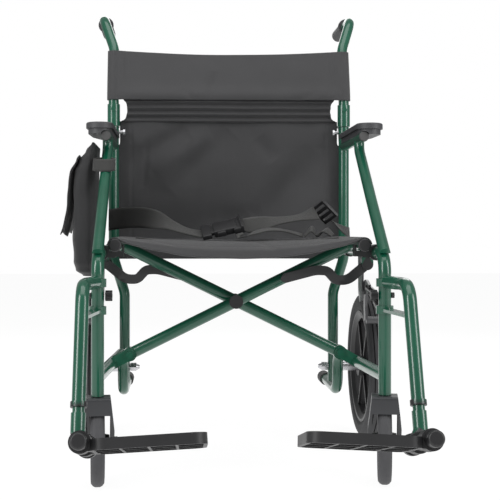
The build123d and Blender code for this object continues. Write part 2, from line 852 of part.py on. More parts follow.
# Star knob and bolt through the front post, below the upper hanger ring
knob_z = 335.0
with BuildPart() as knob:
    with BuildSketch(Plane.YZ.offset(post_x - tube_d / 2 - 14)) as star:
        with Locations((front_y, knob_z)):
            Circle(6.5)
            with PolarLocations(7, 5):
                Circle(2.6)
    extrude(star.sketch, amount=12)
    with BuildSketch(Plane.YZ.offset(post_x + tube_d / 2 + 0.2)) as nut:
        with Locations((front_y, knob_z)):
            RegularPolygon(5.5, 6)
    extrude(nut.sketch, amount=5)

# Parking brake: a plate on the side rail, a lever that turns on it, and a shoe that meets the tyre
brake_y = front_y + brake_ahead
with BuildPart() as brake_mount:
    with BuildSketch(Plane.YZ.offset(post_x + tube_d / 2 + 0.3)) as plate:
        with BuildLine():
            Polyline(
                (brake_y - 26, side_rail_z + 8),
                (brake_y + 26, side_rail_z + 8),
                (brake_y + 24, brake_z - 6),
                (brake_y + 8, brake_z - 26),
                (brake_y - 14, brake_z - 20),
                close=True,
            )
        make_face()
        fillet(vertices(), 5)
    extrude(plate.sketch, amount=brake_plate_thick)
    for bolt_y in (brake_y - 14, brake_y + 14):
        with BuildSketch(Plane.YZ.offset(post_x + tube_d / 2 + 0.3 + brake_plate_thick)) as bolt:
            with Locations((bolt_y, side_rail_z - 2)):
                RegularPolygon(6, 6)
        extrude(bolt.sketch, amount=4)
    lever_x = post_x + tube_d / 2 + 0.3 + brake_plate_thick
    lay_rod((lever_x - 1, brake_y, brake_z), (lever_x + 16, brake_y, brake_z), 8)

lever_low = lever_x + free_gap
with BuildPart() as brake_lever:
    with BuildSketch(Plane.YZ.offset(lever_low)) as arm:
        with BuildLine() as arm_line:
            FilletPolyline(
                (brake_y, brake_z),
                (brake_y - 34, brake_z + 14),
                (brake_y - 66, brake_z + 4),
                radius=[30],
            )
        trace(arm_line.line, 20)
        with Locations((brake_y, brake_z)):
            Circle(4 + running_gap, mode=Mode.SUBTRACT)
    extrude(arm.sketch, amount=5)
    lay_tube(
        [
            (lever_low + 2.5, brake_y - 50, brake_z + 8),
            (lever_low + 10, brake_y - 84, brake_z - 2),
            (lever_low + 14, brake_y - 130, brake_z - 26),
        ],
        [24],
        12,
    )
    lay_tube(
        [
            (lever_low + 12.5, brake_y - 112, brake_z - 16.6),
            (lever_low + 14.6, brake_y - 137, brake_z - 29.7),
        ],
        None,
        22,
    )

shoe_low = lever_low + 5 + free_gap
with BuildPart() as brake_shoe:
    with BuildSketch(Plane.YZ.offset(shoe_low)) as shoe:
        with BuildLine() as shoe_line:
            FilletPolyline(
                (brake_y, brake_z),
                (brake_y + 8, brake_z - 30),
                (brake_y + 2, brake_z - 62),
                radius=[40],
            )
        trace(shoe_line.line, 18)
        with Locations((brake_y, brake_z)):
            Circle(4 + running_gap, mode=Mode.SUBTRACT)
    extrude(shoe.sketch, amount=5)
    lay_rod(
        (shoe_low + 3, brake_y + 2, brake_z - 62),
        (shoe_low + shoe_reach, brake_y + 2, brake_z - 62),
        14,
    )

for right, name in (
    (hanger, "hanger"),
    (footrest_arm, "footrest_arm"),
    (footplate, "footplate"),
    (knob, "hanger_knob"),
    (brake_mount, "brake_mount"),
    (brake_lever, "brake_lever"),
    (brake_shoe, "brake_shoe"),
):
    keep(right, f"{name}_right")
    with BuildPart() as left:
        mirror(right.part, about=Plane.YZ)
    keep(left, f"{name}_left")

# Centre pivot of the cross-brace: bolt, washers and round covers
with BuildPart() as brace_pivot:
    reach = tube_d + bar_gap / 2
    lay_rod((0, brace_y - reach - 3, brace_center_z), (0, brace_y + reach + 3, brace_center_z), pivot_bolt_d)
    for way in (-1, 1):
        face = brace_y + way * (reach + free_gap)
        lay_rod((0, face, brace_center_z), (0, face + way * hub_face, brace_center_z), hub_d)
keep(brace_pivot, "brace_pivot")

# Seat sling: cloth slung between the rails, lower in the middle
with BuildPart() as seat_sling:
    reach = seat_rail_x - 6
    top = seat_z + tube_d / 2 + free_gap * 2
    with BuildSketch(Plane.XZ.offset(-(front_y + seat_front + 4))):
        with BuildLine():
            Line((-reach, top), (-reach, top + sling_thick))
            ThreePointArc((-reach, top + sling_thick), (0, top + sling_thick - sling_sag), (reach, top + sling_thick))
            Line((reach, top + sling_thick), (reach, top))
            ThreePointArc((reach, top), (0, top - sling_sag), (-reach, top))
        make_face()
    extrude(amount=-(wheelbase - seat_front - seat_back_gap - 26))
keep(seat_sling, "seat_sling")

# Back upholstery: a band sleeved round the canes and gathered below, and the panel behind the posts
with BuildPart() as back_band:
    lean = cane_lean[0] * (back_top - cane_points(1)[1][2]) / (cane_lean[1] - cane_points(1)[1][2])
    for s in (-1, 1):
        lay_tube(cane_points(s), cane_radii, tube_d + 2 * cloth)
    with Locations((0, rear_y, (band_bottom + back_top) / 2)):
        Box(4 * post_x, 200, back_top - band_bottom, mode=Mode.INTERSECT)
    front = rear_y - tube_d / 2 - cloth
    for reach, sheet in (
        (post_x, [(front, band_bottom), (front, band_bottom + 8), (front + lean, back_top)]),
        (pleat_half, [(rear_y + 13, pleat_bottom), (front, band_bottom)]),
    ):
        with BuildSketch(Plane.YZ) as side_view:
            with BuildLine():
                Polyline(*sheet, *[(y + cloth, z) for y, z in reversed(sheet)], close=True)
            make_face()
        extrude(side_view.sketch, amount=reach, both=True)
    for s in (-1, 1):
        lay_tube(cane_points(s), cane_radii, tube_d + 2 * free_gap, Mode.SUBTRACT)
keep(back_band, "back_band")

with BuildPart() as back_panel:
    neck_z = rear_post_top - 48
    with BuildSketch(Plane.XZ.offset(-(rear_y + tube_d / 2 + free_gap))):
        with Locations((0, (back_bottom + neck_z) / 2)):
            Rectangle(2 * panel_half, neck_z - back_bottom)
        with Locations((0, (neck_z + pleat_bottom - 4) / 2)):
            Rectangle(2 * panel_neck, pleat_bottom - 2 - neck_z)
    extrude(amount=-cloth)
keep(back_panel, "back_panel")

# Seat belt: two straps across the seat with a buckle between them
with BuildPart() as seat_belt:
    belt_z = seat_z + tube_d / 2 + 8
    with BuildSketch(Plane.XZ.offset(-(front_y + 190))):
        with BuildLine() as strap_line:
            FilletPolyline(
                (-200, belt_z + 14),
                (-60, belt_z + 4),
                (70, belt_z + 2),
                (185, belt_z + 18),
                radius=[120, 120],
            )
        trace(strap_line.line, 3)
    extrude(amount=-45)
    with Locations((0, front_y + 190 + 22.5, belt_z + 5)):
        Box(82, 40, 14)
keep(seat_belt, "seat_belt")

# Side bag: a soft case that hangs outside the left arm
with BuildPart() as side_bag:
    with BuildSketch(Plane.XZ.offset(-(front_y + bag_start))):
        with BuildLine():
            Polyline(
                (-post_x - 22, arm_z - 12),
                (-post_x - 46, arm_z - 30),
                (-post_x - bag_width, arm_z - 90),
                (-post_x - bag_width, arm_z - bag_height + 20),
                (-post_x - bag_width + 16, arm_z - bag_height),
                (-post_x - 22, arm_z - bag_height),
                close=True,
            )
        make_face()
        fillet(vertices().group_by(Axis.X)[0], 12)
    extrude(amount=-bag_length)
keep(side_bag, "side_bag")
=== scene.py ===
# %% [markdown]
# # A folding transport wheelchair
# The frame, wheels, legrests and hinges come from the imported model, at their real size and place. This
# script gives every one of them its finish, and makes the sewn and moulded things that a tube bender
# can't: the cloth seat and back, the lap belt and the side bag.

# %% Load the frame
import json
import math

import bmesh
import bpy
from mathutils import Matrix, Vector, noise


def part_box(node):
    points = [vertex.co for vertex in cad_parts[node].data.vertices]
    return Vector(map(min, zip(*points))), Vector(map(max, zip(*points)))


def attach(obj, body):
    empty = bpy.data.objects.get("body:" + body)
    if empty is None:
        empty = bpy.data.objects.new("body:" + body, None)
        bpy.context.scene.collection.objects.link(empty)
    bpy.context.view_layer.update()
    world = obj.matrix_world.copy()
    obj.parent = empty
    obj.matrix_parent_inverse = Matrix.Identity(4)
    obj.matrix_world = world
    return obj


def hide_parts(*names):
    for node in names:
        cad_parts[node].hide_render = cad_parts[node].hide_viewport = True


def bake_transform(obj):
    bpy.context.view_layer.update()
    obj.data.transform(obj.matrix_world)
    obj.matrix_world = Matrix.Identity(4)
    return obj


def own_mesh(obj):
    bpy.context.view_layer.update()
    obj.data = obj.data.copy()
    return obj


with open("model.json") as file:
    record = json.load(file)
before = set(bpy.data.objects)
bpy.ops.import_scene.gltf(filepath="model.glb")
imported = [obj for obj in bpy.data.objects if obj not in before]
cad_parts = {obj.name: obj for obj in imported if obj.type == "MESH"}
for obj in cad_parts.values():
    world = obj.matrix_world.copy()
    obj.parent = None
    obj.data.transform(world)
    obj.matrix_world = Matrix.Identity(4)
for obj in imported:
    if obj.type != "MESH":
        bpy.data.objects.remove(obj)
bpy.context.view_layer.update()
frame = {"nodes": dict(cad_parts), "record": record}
nodes = frame["nodes"]
slot_of = {part["node"]: part["material_slot"] for part in frame["record"]["subparts"]}

# %% [markdown]
# ## Landmarks
# The seat and back hang on tubes, so their places come from the frame's own boxes: the seat rails, the
# rear posts and the canes. A later change of the frame then carries the cloth with it. The belt lies
# loose on the seat, so its places are read from the photograph instead.

# %% Read the landmarks


def middle(node):
    low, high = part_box(node)
    return (low + high) / 2


rail_x, _, rail_z = middle("seat_rail_right")
rail_low, rail_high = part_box("seat_rail_left")
tube_radius = (rail_high.z - rail_low.z) / 2
seat_front, seat_back = rail_low.y, rail_high.y
post_low, post_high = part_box("rear_post_right")
front_low, front_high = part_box("front_tube_right")
post_x = front_high.x - tube_radius
post_y = post_low.y + tube_radius
front_y = front_low.y + tube_radius
hinge_z = post_high.z
print("rails at", round(rail_x, 4), round(rail_z, 4), "posts at", round(post_x, 4), round(post_y, 4))

# %% [markdown]
# ## Camera and light
# A long lens, a little to the left of the chair's middle: the photograph shows the inner face of the right
# wheel and hardly any of the left one. Part of the sideways offset is a shift of the lens, and the rest is
# a turn of the camera. Small lamps would give dots of light on the tubes. Four large soft ones give the
# long streaks that the photograph shows.

# %% Place the camera
CAMERA_X, CAMERA_AHEAD, CAMERA_Z = -0.110, 1.8, 0.446
LENS, SENSOR = 75.4, 36.0  # mm
TURN = 2.0  # degrees
VIEW_OFFSET, VIEW_RISE = 0.144, -0.038

scene = bpy.context.scene
camera_data = bpy.data.cameras.new("camera")
camera = bpy.data.objects.new("camera", camera_data)
scene.collection.objects.link(camera)
camera.location = (CAMERA_X, front_y - CAMERA_AHEAD, CAMERA_Z)
camera.rotation_euler = (math.radians(90), 0, math.radians(-TURN))
camera_data.lens = LENS
camera_data.sensor_width = SENSOR
camera_data.shift_x = VIEW_OFFSET - math.tan(math.radians(TURN)) * LENS / SENSOR
camera_data.shift_y = VIEW_RISE
scene.camera = camera
print("camera", CAMERA_AHEAD, "m ahead of the front posts")

# %% Place the lamps
scene.view_settings.view_transform = "Standard"


def area_lamp(name, place, aim, size, watts):
    lamp = bpy.data.lights.new(name, "AREA")
    lamp.shape = "RECTANGLE"
    lamp.size, lamp.size_y = size
    lamp.energy = watts
    holder = bpy.data.objects.new(name, lamp)
    scene.collection.objects.link(holder)
    holder.location = place
    holder.rotation_euler = (Vector(aim) - Vector(place)).to_track_quat("-Z", "Y").to_euler()


# name, place, aim, width and height, watts
LAMPS = [
    ("lamp_left", (-1.9, -1.5, 1.5), (0, 0, 0.45), (0.7, 1.9), 34),
    ("lamp_right", (1.9, -1.3, 1.3), (0, 0, 0.45), (0.7, 1.9), 26),
    ("lamp_top", (0, -0.5, 2.5), (0, 0, 0.4), (2.2, 1.6), 22),
    ("lamp_back", (0.3, 2.2, 1.6), (0, 0, 0.5), (2.0, 1.2), 14),
]
for lamp_values in LAMPS:
    area_lamp(*lamp_values)
print(len(LAMPS), "lamps")

# %% [markdown]
# ## Shader maths as expressions
# A bump or a colour change is a few sums and products on the surface's own coordinates. Wrapping a socket
# in a small class lets those be written as Python sums: each one adds its Math node to the tree. Every
# other node comes from one method, which takes its type, its settings and what goes into its sockets.

# %% The socket wrapper


class Wire:
    """One output socket, with arithmetic that adds Math nodes."""

    def __init__(self, wiring, socket):
        self.wiring, self.socket = wiring, socket

    def operate(self, operation, *others):
        return self.wiring.add("ShaderNodeMath", {"operation": operation}, dict(enumerate((self, *others))))

    def __add__(self, other):
        return self.operate("ADD", other)

    def __mul__(self, other):
        return self.operate("MULTIPLY", other)

    __radd__ = __add__
    __rmul__ = __mul__

    def sine(self):
        return self.operate("SINE")

    def clamp(self):
        return self.wiring.add("ShaderNodeMath", {"operation": "ADD", "use_clamp": True}, {0: self, 1: 0.0})


class Wiring:
    """A node tree, and the one method that adds nodes to it."""

    def __init__(self, tree):
        self.tree = tree

    def add(self, kind, settings=None, inputs=None, output=0):
        node = self.tree.nodes.new(kind)
        for key, value in (settings or {}).items():
            setattr(node, key, value)
        for key, value in (inputs or {}).items():
            self.feed(node.inputs[key], value)
        return Wire(self, node.outputs[output])

    def feed(self, socket, value):
        if isinstance(value, Wire):
            self.tree.links.new(value.socket, socket)
        else:
            socket.default_value = value


# %% The finish maker


class Finish(Wiring):
    """A material under construction: one Principled shader, and helpers that add nodes to it."""

    def __init__(self, name, colour, roughness, metallic=0.0, coat=0.0, specular=0.5, sheen=0.0):
        self.material = bpy.data.materials.new(name)
        self.material.use_nodes = True
        super().__init__(self.material.node_tree)
        self.shader = self.tree.nodes["Principled BSDF"]
        self.bump_chain = None
        self.set("Base Color", (*colour, 1.0))
        self.set("Roughness", roughness)
        self.set("Metallic", metallic)
        self.set("Coat Weight", coat)
        self.set("Specular IOR Level", specular)
        self.set("Sheen Weight", sheen)

    def set(self, socket, value):
        self.feed(self.shader.inputs[socket], value)

    def place(self):
        return self.add("ShaderNodeTexCoord", output="Object")

    def axes(self):
        split = self.add("ShaderNodeSeparateXYZ", {}, {0: self.place()}).socket.node
        return [Wire(self, split.outputs[axis]) for axis in "XYZ"]

    def cloud(self, scale, detail=2.0, rough=0.5):
        inputs = {"Scale": scale, "Detail": detail, "Roughness": rough, "Vector": self.place()}
        return self.add("ShaderNodeTexNoise", {}, inputs)

    def mix(self, factor, dark, light):
        inputs = {0: factor, 6: (*dark, 1), 7: (*light, 1)}
        return self.add("ShaderNodeMix", {"data_type": "RGBA"}, inputs, output=2)

    def bump(self, height, distance, strength):
        inputs = {"Height": height, "Distance": distance, "Strength": strength}
        if self.bump_chain is not None:
            inputs["Normal"] = self.bump_chain
        self.bump_chain = self.add("ShaderNodeBump", {}, inputs)
        self.set("Normal", self.bump_chain)


# %% [markdown]
# ## Paint, plastic, rubber and steel
# The frame is a deep green gloss enamel: dark where it turns away, with long bright streaks where it
# mirrors the lamps. A clear coat over a slightly uneven base gives the streaks their soft edges. Each finish
# could be one flat colour, but slow noise in its colour and gloss keeps large smooth parts from looking
# computed, and a fine bump adds the grain of moulded plastic and rubber.


# %% Make the hard finishes
def green_enamel():
    paint = Finish("green_enamel", (0.002, 0.085, 0.045), 0.32, coat=0.7)
    wear = paint.cloud(26, 3)
    paint.set("Base Color", paint.mix(wear, (0.001, 0.066, 0.034), (0.003, 0.098, 0.052)))
    paint.set("Roughness", 0.24 + wear * 0.14)
    paint.set("Coat Roughness", 0.07)
    paint.bump(paint.cloud(240), 0.00008, 0.5)
    return paint.material


def plastic(name, colour, roughness):
    moulded = Finish(name, colour, roughness)
    patches = moulded.cloud(18, 3)
    lighter = tuple(min(1, c * 1.35) for c in colour)
    moulded.set("Base Color", moulded.mix(patches, colour, lighter))
    moulded.set("Roughness", roughness - 0.06 + patches * 0.14)
    moulded.bump(moulded.cloud(900), 0.00012, 0.6)
    return moulded.material


def rubber(name, colour, roughness):
    tread = Finish(name, colour, roughness, specular=0.35)
    dust = tread.cloud(32, 5, 0.65)
    dusty = tuple(c * 1.7 + 0.01 for c in colour)
    tread.set("Base Color", tread.mix(dust, colour, dusty))
    tread.set("Roughness", roughness + dust * 0.12)
    tread.bump(tread.cloud(700, 3), 0.0002, 0.6)
    return tread.material


def bright_steel():
    plated = Finish("plated_steel", (0.62, 0.62, 0.64), 0.22, metallic=1.0)
    haze = plated.cloud(120, 3)
    plated.set("Roughness", 0.14 + haze * 0.22)
    plated.bump(plated.cloud(420), 0.00005, 0.5)
    return plated.material


def painted_steel(name, colour, roughness):
    coat = Finish(name, colour, roughness, coat=0.4)
    patches = coat.cloud(45, 3)
    coat.set("Roughness", roughness - 0.05 + patches * 0.15)
    coat.set("Base Color", coat.mix(patches, colour, tuple(c * 1.4 for c in colour)))
    coat.bump(coat.cloud(500), 0.00008, 0.5)
    return coat.material


hard = {
    "frame_paint": green_enamel(),
    "pad_plastic": plastic("armrest_plastic", (0.042, 0.043, 0.046), 0.5),
    "cap_rubber": rubber("cap_rubber", (0.05, 0.05, 0.05), 0.62),
    "black_plastic": plastic("black_moulding", (0.014, 0.014, 0.015), 0.4),
    "black_steel": painted_steel("black_enamel", (0.011, 0.011, 0.012), 0.3),
    "grip_rubber": rubber("grip_rubber", (0.035, 0.035, 0.037), 0.6),
    "bright_steel": bright_steel(),
    "tyre_rubber": rubber("tyre_rubber", (0.03, 0.03, 0.032), 0.66),
    "caster_rubber": rubber("caster_rubber", (0.045, 0.045, 0.048), 0.6),
    "fork_plastic": plastic("fork_plastic", (0.03, 0.031, 0.034), 0.42),
    "footplate_plastic": plastic("footplate_plastic", (0.016, 0.016, 0.017), 0.45),
    "grey_steel": painted_steel("grey_enamel", (0.05, 0.05, 0.053), 0.4),
}
print(len(hard), "hard finishes")

# %% [markdown]
# ## Cloth
# The seat and back are coated nylon: a plain weave so fine that it shows as a soft grain, dark grey, with
# a dull shine. The weave is two crossed sine waves a little over a millimetre apart, and slow noise under
# it lightens the places where the cloth is rubbed. An image of cloth would do it too, but two waves need
# no picture and stay sharp from near. The belt's weave is coarser and its waves are multiplied, which gives
# it small checks.


# %% Make the cloth finishes
def woven(name, colour, roughness, pitch, depth, checked=False):
    cloth = Finish(name, colour, roughness, specular=0.3, sheen=0.15)
    x, y, z = cloth.axes()
    across = (x * (2 * math.pi / pitch)).sine()
    down = ((z + y) * (2 * math.pi / pitch)).sine()
    weave = across * down if checked else across + down
    rubbed = cloth.cloud(7, 4, 0.6)
    lighter = tuple(c * 1.5 + 0.004 for c in colour)
    cloth.set("Base Color", cloth.mix((rubbed * 0.8 + weave * 0.06).clamp(), colour, lighter))
    cloth.set("Roughness", roughness - 0.05 + rubbed * 0.12)
    cloth.bump(weave, depth, 0.5)
    cloth.bump(cloth.cloud(90, 3), 0.0006, 0.35)
    return cloth.material


soft = {
    "upholstery": woven("nylon_cloth", (0.036, 0.036, 0.0375), 0.62, 0.0012, 0.00012),
    "webbing": woven("belt_webbing", (0.026, 0.026, 0.025), 0.7, 0.0026, 0.0004, checked=True),
    "bag_cloth": woven("bag_nylon", (0.018, 0.018, 0.019), 0.6, 0.0011, 0.00012),
}
print(len(soft), "cloth finishes")

# %% [markdown]
# ## Dressing the frame
# Each node of the frame takes the finish of its own slot, and its edges sharper than about 30 degrees stay
# crisp. A few solids need two finishes: the legrest tube has a black collar at its foot, the footrest a black
# sleeve and barrel, and the tab on the front tube ends black where the link meets it. They could be split
# into more pieces, but picking their faces by place leaves the solids whole.

# %% Give every frame node its finish
NODE_EDGE = 32  # degrees
finishes = {**hard, **soft}
for name, node in nodes.items():
    node.data.materials.clear()
    node.data.materials.append(finishes[slot_of[name]])
    for face in node.data.polygons:
        face.use_smooth = True
    node.data.set_sharp_from_angle(angle=math.radians(NODE_EDGE))

# %% Paint the black collars, barrels and link ends
COLLAR_TOP = 0.1845
SLEEVE_FOOT = 0.1405
BARREL_AHEAD = 0.2185
LINK_END_DROP, LINK_END_RADIUS = 0.009, 0.0125
LINK_BEHIND = 0.1


def repaint(name, slot, belongs):
    """Faces of a frame node whose middle passes the test get another finish."""
    mesh = nodes[name].data
    mesh.materials.append(finishes[slot])
    painted = 0
    for face in mesh.polygons:
        if belongs(nodes[name].matrix_world @ face.center):
            face.material_index = 1
            painted += 1
    print(painted, "faces of", name, "are", slot)


for side, sign in (("left", -1), ("right", 1)):
    barrel_y, link_from_y = front_y - BARREL_AHEAD, front_y + LINK_BEHIND
    link_x, link_z = sign * post_x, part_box("link_" + side)[1].z - LINK_END_DROP
    repaint(f"hanger_{side}", "black_plastic", lambda p: p.z < COLLAR_TOP)
    repaint(f"footrest_arm_{side}", "black_plastic", lambda p: p.z < SLEEVE_FOOT or p.y < barrel_y)
    repaint(f"front_tube_{side}", "black_steel",
            lambda p: math.hypot(p.x - link_x, p.z - link_z) < LINK_END_RADIUS and p.y > link_from_y)

# %% [markdown]
# ## Helpers for soft things
# Cloth is drawn as a grid of points from a function of two shares, across and along, and a webbing strap as
# a ribbon with a centre line and a direction for its width at each station. Both become thin closed shells.
# A Solidify modifier could thicken a plain sheet. Here the second side and the faces round the edge are
# written out, which shows how a closed shell is put together.

# %% Mesh helpers


def add_piece(name, mesh, slot):
    piece = bpy.data.objects.new(name, mesh)
    scene.collection.objects.link(piece)
    mesh.materials.append(finishes[slot])
    for face in mesh.polygons:
        face.use_smooth = True
    return piece


def shell_piece(name, verts, faces, slot):
    """A closed shell from its points, with doubled points joined and its faces turned outward."""
    mesh = bpy.data.meshes.new(name)
    mesh.from_pydata([tuple(v) for v in verts], [], faces)
    mesh.update()
    work = bmesh.new()
    work.from_mesh(mesh)
    bmesh.ops.remove_doubles(work, verts=work.verts, dist=1e-6)
    bmesh.ops.recalc_face_normals(work, faces=work.faces)
    work.to_mesh(mesh)
    work.free()
    return add_piece(name, mesh, slot)


def cloth_grid(name, across, along, place, thick, slot):
    """A sheet of given thickness: place(u, v) gives the middle of the cloth, u and v from 0 to 1."""
    grid = [[Vector(place(i / across, j / along)) for i in range(across + 1)] for j in range(along + 1)]
    verts, faces = [], []
    row = across + 1
    for way in (1, -1):
        for j, line in enumerate(grid):
            for i, point in enumerate(line):
                ahead = line[min(i + 1, across)] - line[max(i - 1, 0)]
                up = grid[min(j + 1, along)][i] - grid[max(j - 1, 0)][i]
                normal = ahead.cross(up).normalized()
                verts.append(point + normal * way * thick / 2)
    count = row * (along + 1)
    for j in range(along):
        for i in range(across):
            a, b, c, d = j * row + i, j * row + i + 1, (j + 1) * row + i + 1, (j + 1) * row + i
            faces += [(a, b, c, d), (count + d, count + c, count + b, count + a)]
    edge = [i for i in range(across)] + [across + j * row for j in range(along)]
    edge += [along * row + i for i in range(across, 0, -1)] + [j * row for j in range(along, 0, -1)]
    for a, b in zip(edge, edge[1:] + edge[:1]):
        faces.append((b, a, count + a, count + b))
    return shell_piece(name, verts, faces, slot)


# %% Line helpers
LINE_STEPS = 10


def smooth_line(points):
    """Catmull-Rom through the points."""
    points = [Vector(p) for p in points]
    padded = [2 * points[0] - points[1], *points, 2 * points[-1] - points[-2]]
    line = []
    for k in range(len(points) - 1):
        p0, p1, p2, p3 = padded[k : k + 4]
        for step in range(LINE_STEPS):
            t = step / LINE_STEPS
            line.append(0.5 * (2 * p1 + (p2 - p0) * t + (2 * p0 - 5 * p1 + 4 * p2 - p3) * t**2
                               + (3 * p1 - p0 - 3 * p2 + p3) * t**3))
    return line + [points[-1]]


def ribbon(name, centre, sides, width, thick, slot):
    """A webbing strap: centre line points, and the direction of its width at each of them."""
    line = smooth_line(centre)
    ways = [s.normalized() for s in smooth_line(sides)]
    last = len(line) - 1

    def place(u, v):
        n = min(last, round(v * last))
        return line[n] + ways[n] * width * (u - 0.5)

    return cloth_grid(name, 8, last, place, thick, slot)


# %% Fold helpers


def bumpiness(x, y, z, scale, seed):
    """Smooth noise at a place, the same in each run."""
    return noise.noise(Vector((x * scale + seed, y * scale, z * scale - seed)))


def ridge(distance, width):
    """1 on a line, fading to 0 away from it."""
    return math.exp(-((distance / width) ** 2))


def crease(px, pz, ax, az, bx, bz, width):
    """1 on the line from (ax, az) to (bx, bz), fading to 0 away from it and towards its ends."""
    dx, dz = bx - ax, bz - az
    t = max(0, min(1, ((px - ax) * dx + (pz - az) * dz) / (dx * dx + dz * dz)))
    gap = math.hypot(px - ax - t * dx, pz - az - t * dz)
    return ridge(gap, width) * math.sin(math.pi * min(1, max(0.04, t))) ** 0.5


# %% [markdown]
# ## Seat
# A cloth sling: it wraps over the two rails, sags between them, and its front edge rolls down into a sewn
# hem that hangs lower in the middle. A cloth simulation could settle it. The photograph shows a taut seat
# with only a few creases, so a formula puts those where they are seen. Its edge wraps and its front hem each
# take a small share of the grid, so that the tight turns have enough points.

# %% Seat sling
SEAT_THICK = 0.0032
seat_wrap = tube_radius + 0.0016
WRAP_FROM, WRAP_TO = 4, 108  # degrees round the rail
EDGE_SHARE = 0.08
SEAT_SAG, FRONT_SAG, HEM_DROP = 0.007, 0.016, 0.013
HEM_DEPTH, BACK_GAP = 0.005, 0.010
SEAT_SEAM = 0.024
SEAT_CREASES = ((-0.10, 0.0, -0.19, 0.07), (0.12, 0.0, 0.20, 0.06), (0.06, 0.0, 0.03, 0.10))


def seat_place(u, v):
    share = min(1, min(u, 1 - u) / EDGE_SHARE)
    angle = math.radians(WRAP_FROM + (WRAP_TO - WRAP_FROM) * share)
    t = (-1 if u < 0.5 else 1) if share < 1 else (u - EDGE_SHARE) / (1 - 2 * EDGE_SHARE) * 2 - 1
    hang = 1 - t * t
    back = max(0, v - EDGE_SHARE) / (1 - EDGE_SHARE)
    hem = min(1, v / EDGE_SHARE)
    x = t * (rail_x + math.cos(angle) * seat_wrap)
    y = seat_front + 0.001 + HEM_DEPTH * hem + (seat_back - seat_front - BACK_GAP) * back
    z = rail_z + math.sin(angle) * seat_wrap
    z -= hang * (SEAT_SAG + FRONT_SAG * math.exp(-back * 10)) + HEM_DROP * hang**0.5 * (1 - hem)
    ripple = bumpiness(x, y, 0, 9, 3) * 0.0022 + bumpiness(x, y, 0, 26, 7) * 0.0007
    for ends in SEAT_CREASES:
        ripple -= 0.0022 * crease(x, y - seat_front, *ends, 0.009)
    seam = ridge(y - seat_front - SEAT_SEAM, 0.0012)
    return (x, y, z + ripple * hang - 0.0007 * seam)


seat = cloth_grid("seat_cloth", 120, 120, seat_place, SEAT_THICK, "upholstery")
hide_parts("seat_sling")
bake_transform(seat)
print("seat cloth has", len(seat.data.polygons), "faces")

# %% [markdown]
# ## Back
# One length of cloth: sleeved round the canes at the top, gathered in four tucks where the canes fold, and
# hemmed down behind the posts below. One mesh could cover it all, but the top leans and folds down with the
# canes while the lower half hangs still, so it is a band, a strip of tucks and a panel.

# %% Back band
BACK_THICK = 0.0022
band_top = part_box("back_band")[1].z
band_bottom = hinge_z + 0.049
sleeve_radius = tube_radius + 0.0022
SLEEVE_TURN, SLEEVE_SHARE = 200, 0.14  # degrees round the cane, and share of the width
CANE_BEND, CANE_LEAN, BEND_SOFTNESS = 0.059, 0.261, 0.012
BAND_DIP, BAND_SLACK = 0.0075, 0.006
BAND_SEAM = 0.221
# start across and up, end across and up, depth
BAND_CREASES = ((-0.045, 0.72, -0.03, 0.79, 0.003), (-0.07, 0.722, -0.10, 0.75, 0.002),
                (0.14, 0.725, 0.19, 0.745, 0.002), (0.215, 0.73, 0.25, 0.83, 0.0015))


def cane_y(z):
    """The middle of the cane at a height: upright from the hinge, then leaning back after a soft bend."""
    above = z - (hinge_z + CANE_BEND)
    return post_y + CANE_LEAN * (above + math.hypot(above, BEND_SOFTNESS)) / 2


def band_place(u, v):
    share = min(1, min(u, 1 - u) / SLEEVE_SHARE)
    turn = math.radians(SLEEVE_TURN * share)
    t = (-1 if u < 0.5 else 1) if share < 1 else (u - SLEEVE_SHARE) / (1 - 2 * SLEEVE_SHARE) * 2 - 1
    hang = 1 - t * t
    x = t * (post_x + sleeve_radius * math.sin(turn))
    z = band_bottom + (band_top - band_bottom) * v
    y = cane_y(z) + sleeve_radius * math.cos(turn)
    z -= BAND_DIP * v * hang
    y += (BAND_SLACK + bumpiness(x, 0, z, 7, 2) * 0.004 + bumpiness(x, 0, z, 22, 5) * 0.0012) * hang
    y -= 0.006 * ridge(z - band_bottom - 0.012, 0.016) * min(1, hang * 4)
    for *ends, deep in BAND_CREASES:
        y += deep * crease(x, z, *ends, 0.007)
    return (x, y + 0.0012 * ridge(abs(x) - BAND_SEAM, 0.0016), z)


band = cloth_grid("back_band_cloth", 150, 60, band_place, BACK_THICK, "upholstery")
print("band from", round(band_bottom, 3), "to", round(band_top, 3))

# %% Tucks under the band
TUCKS = 4
TUCK_THICK, TUCK_DEPTH = 0.0020, 0.0030
TUCK_HALF, TUCK_WAIST, TUCK_FLARE = 0.223, 0.004, 0.010
tuck_bottom = hinge_z + 0.003
tuck_top = band_bottom + 0.006


def tuck_place(u, v):
    waist = TUCK_HALF - TUCK_WAIST * math.sin(math.pi * v)
    x = (u * 2 - 1) * (waist + TUCK_FLARE * (abs(2 * v - 1) ** 4))
    z = tuck_bottom + (tuck_top - tuck_bottom) * v
    wave = math.sin(v * math.pi * 2 * TUCKS + bumpiness(x, 0, 0, 6, 11) * 0.8)
    y = post_y + 0.014 - 0.020 * v**0.8 - TUCK_DEPTH * wave + bumpiness(x, 0, z, 14, 8) * 0.0015
    return (x, y, z + 0.0010 * math.cos(v * math.pi * 2 * TUCKS))


tucks = cloth_grid("back_tucks", 90, 64, tuck_place, TUCK_THICK, "upholstery")
print(TUCKS, "tucks from", round(tuck_bottom, 3), "to", round(tuck_top, 3))

# %% Lower panel
panel_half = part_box("back_panel")[1].x
panel_face = post_y + tube_radius + 0.0030
panel_foot = rail_z - 0.035
panel_top = tuck_bottom + 0.002
neck_z = hinge_z - 0.048
NECK_IN = 0.011
PANEL_SLACK = 0.007
PANEL_SEAM = 0.209
